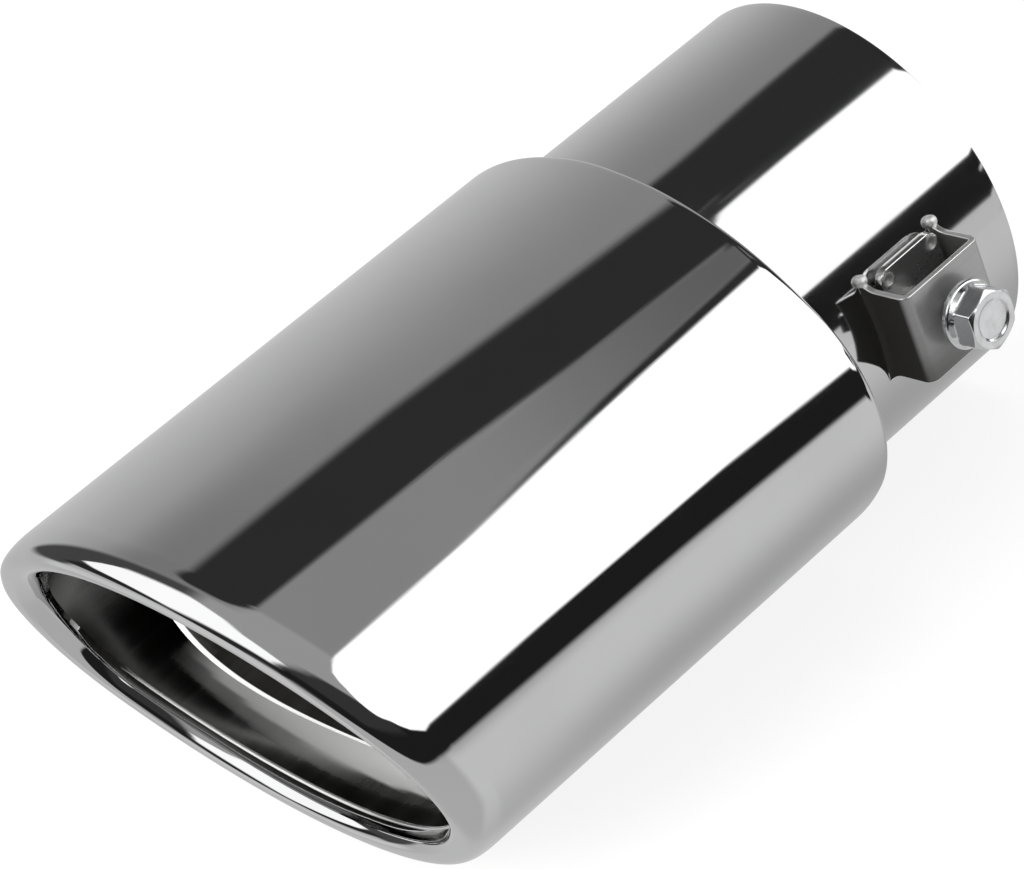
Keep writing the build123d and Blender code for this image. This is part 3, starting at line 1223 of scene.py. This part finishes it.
@dataclass
class NutPlate:
    """Nut plate under the bracket: a rounded plate with four weld dimples and a threaded collar."""

    finish: SatinSteel
    station: float = 20.9
    inner_face: float = 32.55
    sheet: float = 1.4
    edge: float = 0.2
    half_width: float = 6.35
    half_height: float = 9.0
    corner: float = 2.2
    dimple_radius: float = 1.0
    dimple_depth: float = 0.5
    dimple_ring: float = 0.12
    dimple_side: float = 4.75
    dimple_height: float = 7.3
    thread_radius: float = 2.55
    collar_radius: float = 3.35
    collar_end: float = 31.6
    collar_round: float = 0.25
    collar_overlap: float = 0.3
    thread_chamfer: float = 0.2
    dimple_ring_width: float = 0.2
    # Painted shade in and round the weld dimples.
    dimple_shade: float = 0.7
    dimple_shade_reach: Span = (0.7, 1.3)
    window: float = 4.0
    around: int = 72

    def _from_dimple(self, y: Array, z: Array) -> Array:
        """Distance from the nearest dimple's middle, with y from the plate's middle."""
        return np.hypot(np.abs(y) - self.dimple_side, np.abs(z) - self.dimple_height)

    def _place(self, u: Array, v: Array, depth: Array) -> Array:
        """Point of the plate: the sides draw in to round corners, and four dimples are pressed through.

        Args:
            u: Distance across, before the corners draw it in.
            v: Height.
            depth: Distance from the plate's middle.

        Returns:
            Points in the shared frame.
        """
        height = self.half_height
        past = np.clip(np.abs(v) - (height - self.corner), 0.0, self.corner)
        width = self.half_width - self.corner + np.sqrt(np.maximum(self.corner**2 - past**2, 0.0))
        y = u * width / self.half_width
        far = self._from_dimple(y, v)
        press = self.dimple_depth * (1.0 - rise(far, 0.3 * self.dimple_radius, 0.85 * self.dimple_radius))
        from_ring = (far - self.dimple_radius) / self.dimple_ring_width
        press = press - self.dimple_ring * np.exp(-(from_ring**2))
        middle = self.inner_face + 0.5 * self.sheet
        return np.stack([middle + depth - press, y - self.station, v], axis=-1)

    def _collar(self) -> Shell:
        """The threaded collar: a short closed ring under the plate, with a rounded free end.

        Returns:
            The ring.
        """
        turn = np.linspace(0.0, FULL_TURN, self.around, endpoint=False)[None]
        top, end = self.inner_face + self.collar_overlap, self.collar_end
        inner, outer = self.thread_radius, self.collar_radius
        bevel, corner = self.thread_chamfer, self.collar_round
        profile = [
            (top, inner), (end + bevel, inner), (end, inner + bevel),
            (end, outer - corner), (end + corner, outer), (top, outer),
        ]
        x, radius = np.array(profile).T[..., None]
        y, z = radius * np.cos(turn) - self.station, radius * np.sin(turn)
        rings = np.stack([np.broadcast_to(x, y.shape), y, z], axis=-1)
        return Shell.from_rings(rings, closed=True, inside=1.0)

    def build(self) -> bpy.types.Object:
        """Press the plate and add its collar.

        Returns:
            The placed plate.
        """
        window, width, height = self.window, self.half_width - self.edge, self.half_height - self.edge
        u = spans((-width, 0), (-window, 11), (window, 26), (width, 11))
        v = spans((-height, 0), (-window, 22), (window, 26), (height, 22))
        hole = (0.0, 0.0, self.thread_radius)
        sheet = SheetMetal(u, v, self.sheet, self.edge, hole, (-window, window, -window, window))
        shell = sheet.build(self._place).outward()
        far = self._from_dimple(shell.points[:, 1] + self.station, shell.points[:, 2])
        # Painted shade darkens the dimples.
        shell.fields["oxide"] = self.dimple_shade * (1.0 - rise(far, *self.dimple_shade_reach))
        whole = Shell.join(shell, self._collar().outward())
        piece = Piece("nut_plate_pressed", Body.TIP, "nut_plate", "satin_plate", 35.0)
        return piece.place(whole, self.finish.material())


@dataclass
class ClampBolt:
    """Clamp bolt: a flanged hexagon head with a dished face, and a threaded shank with a blunt tip."""

    finish: ZincPlate
    station: float = 20.9
    seat: float = 42.3
    top: float = 47.6
    tip: float = 31.6
    flats: float = 8.6
    hex_turn: float = math.radians(-5.0)
    flange_radius: float = 5.165
    rim: float = 0.8
    flange_rise: float = 1.0
    face_radius: float = 3.1
    face_depth: float = 0.3
    chamfer: float = math.radians(30.0)
    shank: float = 2.46
    pitch: float = 0.8
    thread_depth: float = 0.38
    thread_rows: int = 130
    land_share: float = 0.965
    corner_share: float = 0.985
    around: int = 192

    def _hexagon(self, turn: Array) -> Array:
        """Radius of the hexagon: half the flats over the cosine from the nearest flat, with eased corners.

        Args:
            turn: Angles round the bolt.

        Returns:
            The radius at each angle.
        """
        sixth = math.pi / 6.0
        from_flat = np.mod(turn - self.hex_turn + sixth, 2.0 * sixth) - sixth
        sharp = 0.5 * self.flats / np.cos(from_flat)
        return np.minimum(sharp, 0.5 * self.flats / math.cos(sixth) * self.corner_share)

    def _head(self, turn: Array) -> list[tuple[Array | float, Array | float]]:
        """Heights and radii of the head's rings from its middle to the shank.

        The dish, a rounded brow, the 30 degree chamfer that leaves arched edges on the flats, the flats, a
        small fillet to the flange's cone, the flange's rounded rim, and its underside.

        Args:
            turn: Angles round the bolt.

        Returns:
            Height and radius of each ring, as one number or one for each angle.
        """
        hexagon = self._hexagon(turn)
        land = 0.5 * self.flats * self.land_share
        arch = self.top - np.maximum(hexagon - land, 0.0) * math.tan(self.chamfer)
        shoulder = self.seat + self.rim
        cone = shoulder + self.flange_rise
        top, floor, face = self.top, self.top - self.face_depth, self.face_radius
        seat, flange, shank = self.seat, self.flange_radius, self.shank
        dish = [(floor, 0.0), (floor, 1.2), (floor, 0.86 * face), (floor + 0.06, 0.92 * face)]
        brow = [(top - 0.06, face), (top, 1.05 * face), (top, land - 0.15), (top - 0.02, land)]
        edge = [(arch - 0.03, hexagon - 0.05), (arch - 0.13, hexagon)]
        low = cone + 0.25
        flats = [((arch - 0.13) * (1.0 - share) + low * share, hexagon) for share in (0.3, 0.6, 0.9)]
        fillet = [
            (low, hexagon), (cone + 0.08, hexagon + 0.07),
            (cone - 0.02, np.minimum(hexagon + 0.25, flange - 0.5)),
        ]
        rim = [
            (shoulder + 0.22, flange - 0.3), (shoulder + 0.08, flange - 0.1), (shoulder - 0.12, flange),
            (seat + 0.15, flange), (seat + 0.04, flange - 0.05), (seat, flange - 0.16),
        ]
        neck = [(seat, shank + 0.25), (seat - 0.08, shank + 0.04)]
        return dish + brow + edge + flats + fillet + rim + neck

    def _thread(self, turn: Array) -> tuple[Array, Array]:
        """The shank: a helix of rounded grooves that fades at the neck and at the tip.

        The radius is the shank's less the groove's depth times half of one less the cosine of the helix's
        angle.

        Args:
            turn: Angles round the bolt.

        Returns:
            Heights and radii, with a row for each ring.
        """
        x = np.linspace(self.seat - 0.2, self.tip + 0.5, self.thread_rows)[:, None]
        wave = 0.5 - 0.5 * np.cos(FULL_TURN * x / self.pitch + turn[None])
        fade = rise(self.seat - x, 0.3, 1.3) * rise(x - self.tip, 0.4, 0.9)
        radius = self.shank - self.thread_depth * fade * wave
        return np.broadcast_to(x, radius.shape), radius

    def build(self) -> bpy.types.Object:
        """Stack the head's rings, the thread and the tip, and close both poles.

        Returns:
            The placed bolt.
        """
        turn = np.linspace(0.0, FULL_TURN, self.around, endpoint=False)

        def stacked(rings: list[tuple[Array | float, Array | float]]) -> list[Array]:
            """Heights and radii of rings, spread over the angles."""
            return [np.stack([np.broadcast_to(part, turn.shape) for part in parts]) for parts in zip(*rings)]

        head = stacked(self._head(turn))
        tip = stacked([(self.tip + 0.42, self.shank - 0.05), (self.tip, self.shank - 0.5), (self.tip, 0.0)])
        x, radius = (np.concatenate(parts) for parts in zip(head, self._thread(turn), tip))
        rings = np.stack([x, radius * np.cos(turn) - self.station, radius * np.sin(turn)], axis=-1)
        threaded = (np.arange(len(x)) >= len(head[0])).astype(float)[:, None]
        shell = Shell.from_rings(rings, thread=threaded)
        piece = Piece("clamp_bolt_zinc", Body.BOLT, "clamp_bolt", "zinc_bolt", 24.0)
        return piece.place(shell, self.finish.material())


# Studio


@dataclass(frozen=True)
class TentPanel:
    """A panel of the light tent, bounded by two edges that run along the pipe's axis.

    The turn is the angle round the pipe's axis from +X over +Z. The lean is the part of a direction along Y.
    """

    level: float
    leans: tuple[float, ...]
    starts: tuple[float, ...]
    ends: tuple[float, ...]
    soft_start: float = 2.0
    soft_end: float = 2.0
    soft_lean: float = 0.04

    def share(self, turn: Array, lean: Array) -> Array:
        """How much of this panel shows in a direction: a smooth step at each of its edges.

        Args:
            turn: Degrees round the axis.
            lean: Parts along Y.

        Returns:
            0 outside the panel to 1 within it.
        """
        start = np.interp(lean, self.leans, self.starts)
        end = np.interp(lean, self.leans, self.ends)
        across = rise(turn - start, -self.soft_start, self.soft_start)
        across = across * rise(end - turn, -self.soft_end, self.soft_end)
        low, high, soft = self.leans[0], self.leans[-1], self.soft_lean
        return across * rise(lean, low - soft, low + soft) * rise(-lean, -high - soft, -high + soft)


def stand(name: str, shell: Shell, label: str, material: bpy.types.Material) -> bpy.types.Object:
    """Put a lit sheet of the studio in the scene, where only reflections see it.

    Args:
        name: Name of the sheet.
        shell: Open shell in millimetres.
        label: The field that the material reads.
        material: Its glow.

    Returns:
        The object.
    """
    mesh = bpy.data.meshes.new(name)
    mesh.from_pydata((shell.points * MM).tolist(), [], shell.faces.tolist())
    layer = mesh.attributes.new(label, "FLOAT", "POINT")
    layer.data.foreach_set("value", shell.fields[label].astype(np.float32))
    material.cycles.emission_sampling = "NONE"
    mesh.materials.append(material)
    sheet = bpy.data.objects.new(name, mesh)
    bpy.context.scene.collection.objects.link(sheet)
    for ray in ("camera", "diffuse", "transmission", "shadow", "volume_scatter"):
        setattr(sheet, f"visible_{ray}", False)
    return sheet


@dataclass
class StudioTent:
    """The soft tent that metal mirrors: pale cloth, white softboxes and black flags on a large sphere."""

    panels: tuple[TentPanel, ...]
    cloth: float = 0.47
    radius: float = 3000.0

    def build(self) -> bpy.types.Object:
        """Sphere about the pipe's axis whose glow is worked out per point, seen by reflections only.

        Returns:
            The sphere.
        """
        turn = np.radians(np.linspace(-150.0, 210.0, 1081))[None]
        rows = spans(
            (-1.0, 0), (-0.98, 6), (-0.8, 24), (-0.4, 30), (-0.1, 90),
            (0.3, 40), (0.7, 70), (0.98, 20), (1.0, 5),
        )
        lean = rows[:, None] * np.ones_like(turn)
        flat = np.sqrt(1.0 - rows**2)[:, None]
        points = np.stack([flat * np.cos(turn), lean, flat * np.sin(turn)], axis=-1) * self.radius
        degrees = np.degrees(turn) * np.ones_like(flat)
        glow = np.full(degrees.shape, self.cloth)
        for panel in self.panels:
            share = panel.share(degrees, lean)
            glow = glow * (1.0 - share) + panel.level * share
        shell = Shell.from_rings(points, loops=False, glow=glow)
        canvas = new_canvas("tent_glow")
        return stand("studio_tent", shell, "glow", canvas.close(canvas.glow(canvas.attribute("glow"), 1.0)))


@dataclass(frozen=True)
class StudioCard:
    """A small card close to the part, given by a corner and two sides, with edges that fade out."""

    name: str
    level: float
    corner: Triple
    across: Triple
    along: Triple
    fade: float = 0.12

    def build(self) -> bpy.types.Object:
        """A flat grid whose cover grows from 0 at its rim by a smooth step, seen by reflections only.

        Returns:
            The card.
        """
        share = np.linspace(0.0, 1.0, 41)
        i, j = np.meshgrid(share, share, indexing="ij")
        across, along = i[..., None] * np.array(self.across), j[..., None] * np.array(self.along)
        cover = rise(np.minimum(i, 1.0 - i), 0.0, self.fade)
        cover = cover * rise(np.minimum(j, 1.0 - j), 0.0, 0.3 * self.fade)
        shell = Shell.from_rings(np.array(self.corner) + across + along, loops=False, cover=cover)
        canvas = new_canvas(self.name)
        clear = canvas.node("ShaderNodeBsdfTransparent").outputs[0]
        mix = canvas.mixed(canvas.attribute("cover"), clear, canvas.glow(WHITE, self.level))
        return stand(self.name, shell, "cover", canvas.close(mix))


@dataclass(frozen=True)
class SoftLamp:
    """A square lamp that metal does not mirror; at no tilt it shines down."""

    name: str
    size: float
    energy: float
    place: Triple
    tilt: float = 0.0

    def build(self) -> None:
        """Put the lamp in the scene."""
        lamp = bpy.data.lights.new(self.name, "AREA")
        lamp.size = self.size
        lamp.energy = self.energy
        thing = bpy.data.objects.new(self.name, lamp)
        thing.location = self.place
        thing.rotation_euler = (self.tilt, 0.0, 0.0)
        thing.visible_glossy = False
        bpy.context.scene.collection.objects.link(thing)


@dataclass
class Studio:
    """Floor, tent, cards, lamps, world and the camera."""

    tent: StudioTent
    cards: tuple[StudioCard, ...]
    lamps: tuple[SoftLamp, ...]
    floor_height: float = -33.7
    floor_half: float = 6000.0
    floor_colour: Colour = (0.96, 0.96, 0.96)
    floor_glow: float = 0.85
    world_strength: float = 0.9
    lens: float = 150.86
    eye: Triple = (448.578, -352.524, 317.621)
    right: Triple = (0.653961, 0.681694, -0.328068)
    down: Triple = (0.197393, -0.57238, -0.795875)
    ahead: Triple = (-0.730323, 0.455713, -0.508875)

    def build(self) -> None:
        """Set the stage."""
        self._floor()
        self.tent.build()
        for thing in self.cards + self.lamps:
            thing.build()
        self._world()
        self._camera()
        bpy.context.scene.view_settings.view_transform = "Standard"

    def _floor(self) -> None:
        """A pale floor whose own glow keeps the shadow faint; metal mirrors the tent instead of it."""
        half = self.floor_half * MM
        height = self.floor_height * MM
        mesh = bpy.data.meshes.new("studio_floor")
        corners = [(-half, -half, height), (half, -half, height), (half, half, height), (-half, half, height)]
        mesh.from_pydata(corners, [], [(0, 1, 2, 3)])
        canvas = new_canvas("pale_floor")
        speck = canvas.noise((90.0, 90.0, 90.0), 3.0)
        paper = canvas.blend(speck, self.floor_colour, scaled(self.floor_colour, 0.99))
        diffuse = canvas.node("ShaderNodeBsdfDiffuse", {}, {"Color": paper}).outputs[0]
        mesh.materials.append(canvas.close(canvas.mixed(self.floor_glow, diffuse, canvas.glow(WHITE, 1.0))))
        floor = bpy.data.objects.new("studio_floor", mesh)
        bpy.context.scene.collection.objects.link(floor)
        floor.visible_glossy = False

    def _world(self) -> None:
        """White surroundings for the camera and for mirrors, plain light for everything else."""
        canvas = Canvas(bpy.data.worlds.new("studio_world"), "ShaderNodeOutputWorld")
        plain, white = (
            canvas.node("ShaderNodeBackground", {}, {"Color": WHITE, "Strength": strength}).outputs[0]
            for strength in (self.world_strength, 1.0)
        )
        path = canvas.node("ShaderNodeLightPath")
        seen, glossy, through = (
            Value(canvas, path.outputs[f"Is {ray} Ray"]) for ray in ("Camera", "Glossy", "Transmission")
        )
        seen = seen.either(glossy).either(through)
        bpy.context.scene.world = canvas.close(canvas.mixed(seen, plain, white))

    def _camera(self) -> None:
        """The camera of the photograph: place, turn and lens."""
        camera = bpy.data.cameras.new("photo_camera")
        camera.sensor_fit = "HORIZONTAL"
        camera.sensor_width = 36.0
        camera.lens = self.lens
        camera.clip_start = 0.02
        camera.clip_end = 50.0
        eye = bpy.data.objects.new("photo_camera", camera)
        turn = Matrix((self.right, tuple(-part for part in self.down), tuple(-part for part in self.ahead)))
        eye.matrix_world = Matrix.Translation([part * MM for part in self.eye]) @ turn.transposed().to_4x4()
        bpy.context.scene.collection.objects.link(eye)
        bpy.context.scene.camera = eye


def tent_panels() -> tuple[TentPanel, ...]:
    """The tent's cloth, softboxes and flags.

    Returns:
        The panels, each painted over those before it.
    """
    lower_cloth = TentPanel(0.63, (-1.0, 1.0), (-154.0, -154.0), (-18.0, -18.0), 4.0, 8.0)
    lower_glow = TentPanel(0.84, (0.12, 1.0), (-80.0, -80.0), (-18.0, -18.0), 30.0, 8.0, 0.08)
    lip_glow = TentPanel(0.86, (-1.0, -0.40), (-154.0, -154.0), (-118.0, -118.0), 4.0, 8.0, 0.08)
    lower_shade = TentPanel(0.52, (0.38, 1.0), (-154.0, -154.0), (-68.0, -68.0), 4.0, 30.0, 0.06)
    left_cloth = TentPanel(0.35, (-1.0, 1.0), (100.0, 100.0), (214.0, 214.0), 6.0, 4.0)
    left_glow = TentPanel(0.64, (-1.0, 1.0), (146.0, 146.0), (214.0, 214.0), 34.0, 4.0)
    front_glow = TentPanel(0.86, (-1.0, -0.40), (182.0, 182.0), (214.0, 214.0), 10.0, 4.0, 0.08)
    front_cloth = TentPanel(0.47, (-0.75, 0.40), (28.0, 45.0), (96.0, 96.0), 4.0, 8.0, 0.05)
    front_shade = TentPanel(0.28, (0.04, 0.38), (90.0, 90.0), (135.0, 135.0), 6.0, 12.0, 0.06)
    front_dusk = TentPanel(0.085, (-0.5, 0.02), (100.0, 100.0), (180.0, 180.0), 6.0, 4.0, 0.05)
    front_post = TentPanel(0.03, (-0.90, -0.40), (146.0, 146.0), (168.0, 168.0), 2.0, 2.0, 0.05)
    front_pole = TentPanel(0.03, (-1.0, -0.89), (40.0, 40.0), (170.0, 170.0), 3.0, 3.0, 0.02)
    front_box = TentPanel(
        1.6, (-0.88, -0.65, -0.50, -0.34, -0.20), (62.0, 58.0, 78.0, 86.0, 100.0),
        (138.0, 147.0, 151.0, 151.0, 128.0), 3.0, 2.0, 0.05,
    )
    top_flag = TentPanel(
        0.038, (0.09, 0.12, 0.17, 0.24, 0.37, 0.41, 0.505, 0.522, 0.60, 0.80, 1.0),
        (96.0, 92.0, 89.5, 88.0, 87.0, 64.0, 66.0, 66.0, 64.0, 58.0, 50.0),
        (106.0, 110.0, 113.0, 114.0, 114.0, 113.5, 105.2, 108.0, 110.0, 112.0, 118.0), 2.0, 2.5, 0.03,
    )
    top_strip = TentPanel(
        0.36, (0.30, 0.36, 0.41, 0.45, 0.53, 0.58, 0.66), (56.0, 59.5, 64.0, 68.8, 74.0, 73.5, 73.0),
        (90.0, 88.5, 87.5, 83.5, 79.5, 81.5, 83.5), 1.2, 1.2, 0.05,
    )
    strip_end = TentPanel(
        0.18, (0.45, 0.53, 0.58, 0.66), (68.8, 74.0, 73.5, 73.0), (83.5, 79.5, 81.5, 83.5), 1.2, 1.2, 0.045
    )
    right_flag = TentPanel(
        0.018, (-1.0, -0.80, -0.60, -0.40, -0.20, 0.0, 0.20, 0.35, 0.44, 0.55, 0.60, 0.80, 1.0),
        (-32.0, -31.0, -30.0, -28.0, -23.0, -18.0, -15.0, -12.0, -15.0, -27.0, -29.0, -33.0, -36.0),
        (60.0, 60.0, 54.0, 36.0, 26.0, 14.0, 10.0, 12.0, 15.0, 6.0, 2.0, 0.0, 0.0), 2.5, 6.0,
    )
    right_shade = TentPanel(
        0.05, (-0.80, -0.60, -0.40, -0.33, -0.26, -0.15), (8.0, 8.0, 8.0, 8.0, 8.0, 8.0),
        (58.0, 56.0, 54.0, 50.0, 38.0, 28.0), 6.0, 6.0, 0.05,
    )
    main_box = TentPanel(
        1.9,
        (-0.28, -0.27, -0.26, -0.24, -0.20, -0.15, -0.10, 0.0, 0.20, 0.40, 0.43, 0.46, 0.52, 0.60, 1.0),
        (30.0, 26.8, 25.5, 23.9, 22.4, 20.0, 15.0, 10.0, 6.0, 10.5, 9.8, 9.0, 1.0, -3.0, -10.0),
        (34.0, 36.0, 37.5, 39.3, 42.0, 45.0, 48.5, 53.0, 58.0, 62.4, 64.6, 66.5, 69.0, 66.5, 58.0),
        1.5, 0.7, 0.012,
    )
    return (
        lower_cloth, lower_glow, lip_glow, lower_shade, left_cloth, left_glow, front_glow, front_cloth,
        front_shade, front_dusk, front_post, front_pole, front_box, top_flag, top_strip, strip_end,
        right_flag, right_shade, main_box,
    )


def studio_cards() -> tuple[StudioCard, ...]:
    """The cards close to the part, which the pipe and the sleeve's end mirror.

    Returns:
        The cards.
    """
    top = StudioCard("pipe_top_flag", 0.038, (20.0, -5.0, 95.0), (22.0, 0.0, 0.0), (0.0, 75.0, 0.0))
    end = StudioCard("sleeve_end_flag", 0.038, (34.0, 0.5, 95.0), (24.0, 0.0, 0.0), (0.0, 5.0, 0.0), 0.3)
    side = StudioCard("pipe_side_flag", 0.018, (95.0, -3.0, 5.0), (0.0, 0.0, 17.0), (0.0, 73.0, 0.0))
    fill = StudioCard("pipe_side_fill", 0.80, (95.0, -3.0, -36.0), (0.0, 0.0, 22.0), (0.0, 73.0, 0.0))
    return top, end, side, fill


def studio_lamps() -> tuple[SoftLamp, ...]:
    """A soft lamp over the part, which gives the floor's shadow, and a weak one before the mouth."""
    key = SoftLamp("soft_key", 0.9, 4.0, (0.0, -0.08, 1.0))
    return key, SoftLamp("mouth_fill", 0.25, 3.2, (-0.05, -0.55, 0.18), math.radians(65.0))


def main() -> None:
    """Build the pieces and the studio in order."""
    logging.basicConfig(level=logging.INFO, format="%(name)s: %(message)s")
    section, mouth = OvalSection(), Mouth()
    mirror = PolishedSteel("polished_sleeve_steel", (0.60, 0.60, 0.605), 0.02, (0.28, 0.28, 0.275), 0.14)
    tube = PolishedSteel("polished_pipe_steel", (0.58, 0.58, 0.585), 0.06)
    pressed = SatinSteel("pressed_bracket_steel", (0.49, 0.49, 0.49), 0.32)
    # The plate's painted shade is a lighter grey than the bracket's.
    plate = SatinSteel("pressed_plate_steel", (0.72, 0.72, 0.715), 0.26, shade_tint=(0.12, 0.118, 0.115))
    OuterSleeve(section, mouth, mirror).build()
    InletPipe(tube).build()
    ClampBracket(pressed).build()
    NutPlate(plate).build()
    ClampBolt(ZincPlate("bright_zinc")).build()
    Studio(StudioTent(tent_panels()), studio_cards(), studio_lamps()).build()


if __name__ == "__main__":
    main()
